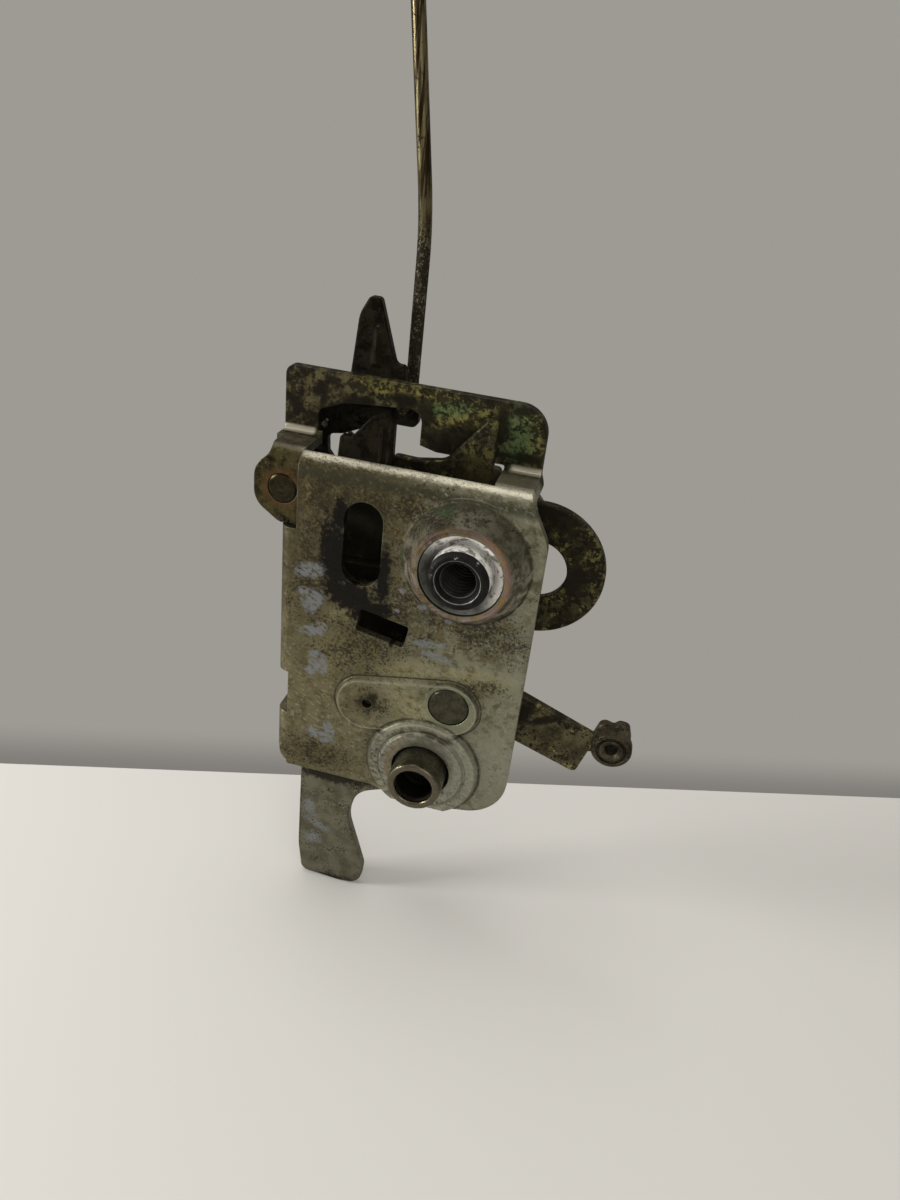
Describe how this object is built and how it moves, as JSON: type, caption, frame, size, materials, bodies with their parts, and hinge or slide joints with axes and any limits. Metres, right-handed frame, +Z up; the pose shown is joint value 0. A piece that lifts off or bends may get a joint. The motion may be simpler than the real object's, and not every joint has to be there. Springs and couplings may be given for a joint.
{
  "type": "car door lock",
  "caption": "Folded steel lock plate with threaded fixing bushes, sprung handle levers, a swivelling rod clip, and a lock lever with its long pull rod.",
  "frame": {"origin": "on the upper threaded bush's axis, in the plane of the plate's face", "axes": "+X to the right and +Z up on the face, as fitted in the door; -Y out of the face, along the bushes"},
  "size_m": [0.0801, 0.0284, 0.1963],
  "materials": {
    "yellow_zinc": "aged yellow zinc",
    "dark_zinc": "aged and greasy zinc",
    "olive_zinc": "aged olive zinc",
    "plain_steel": "turned and smudged",
    "brown_steel": "lightly rusted",
    "spring_steel": "dark oiled wire"
  },
  "bodies": {
    "case": {"front_plate": "yellow_zinc", "rear_plate": "dark_zinc", "upper_bush": "plain_steel", "lower_bush": "plain_steel", "pivot_rivet": "plain_steel", "ear_pin": "plain_steel", "ear_pin_clip": "spring_steel", "pivot_spacer": "plain_steel", "lever_washer": "plain_steel", "bush_spacer": "plain_steel", "release_spring": "spring_steel", "outer_lever_spring": "spring_steel", "lock_spring": "spring_steel"},
    "release": {"release_lever": "olive_zinc"},
    "inner_handle": {"inner_handle_lever": "olive_zinc"},
    "clip": {"rod_clip": "brown_steel"},
    "outer_handle": {"outer_handle_lever": "olive_zinc", "drive_pin": "plain_steel"},
    "lock_arm": {"lock_lever": "dark_zinc", "lock_finger": "dark_zinc", "lock_hub": "plain_steel"},
    "pull_rod": {"lock_rod": "dark_zinc", "rod_retainer": "spring_steel"}
  },
  "joints": [
    {"name": "release_pivot", "type": "hinge", "parent": "case", "child": "release", "pos_m": [0.0002, 0.0094, -0.0315], "axis": [0, -1, 0], "range_deg": [0, 10], "stiffness_Nm_per_rad": 0.04, "springref_deg": -34.38, "deforming": ["release_spring"]},
    {"name": "inner_handle_pivot", "type": "hinge", "parent": "case", "child": "inner_handle", "pos_m": [0.0002, 0.0067, -0.0315], "axis": [0, -1, 0], "range_deg": [0, 10]},
    {"name": "clip_swivel", "type": "hinge", "parent": "inner_handle", "child": "clip", "pos_m": [0.0334, 0.006, -0.0359], "axis": [0, -1, 0], "range_deg": [-60, 60]},
    {"name": "outer_handle_pivot", "type": "hinge", "parent": "case", "child": "outer_handle", "pos_m": [-0.0039, 0.004, -0.0482], "axis": [0, -1, 0], "range_deg": [-10, 0], "deforming": ["outer_lever_spring"]},
    {"name": "lock_pivot", "type": "hinge", "parent": "case", "child": "lock_arm", "pos_m": [-0.0369, 0.01, 0.0074], "axis": [0, -1, 0], "range_deg": [0, 10], "deforming": ["lock_spring"]},
    {"name": "rod_swivel", "type": "hinge", "parent": "lock_arm", "child": "pull_rod", "pos_m": [-0.0183, 0.0153, 0.0226], "axis": [0, -1, 0], "range_deg": [-10, 0]}
  ],
  "couplings": [
    {"joint": "inner_handle_pivot", "follows": "release_pivot", "ratio": 1},
    {"joint": "outer_handle_pivot", "follows": "release_pivot", "ratio": -1},
    {"joint": "rod_swivel", "follows": "lock_pivot", "ratio": -1}
  ]
}
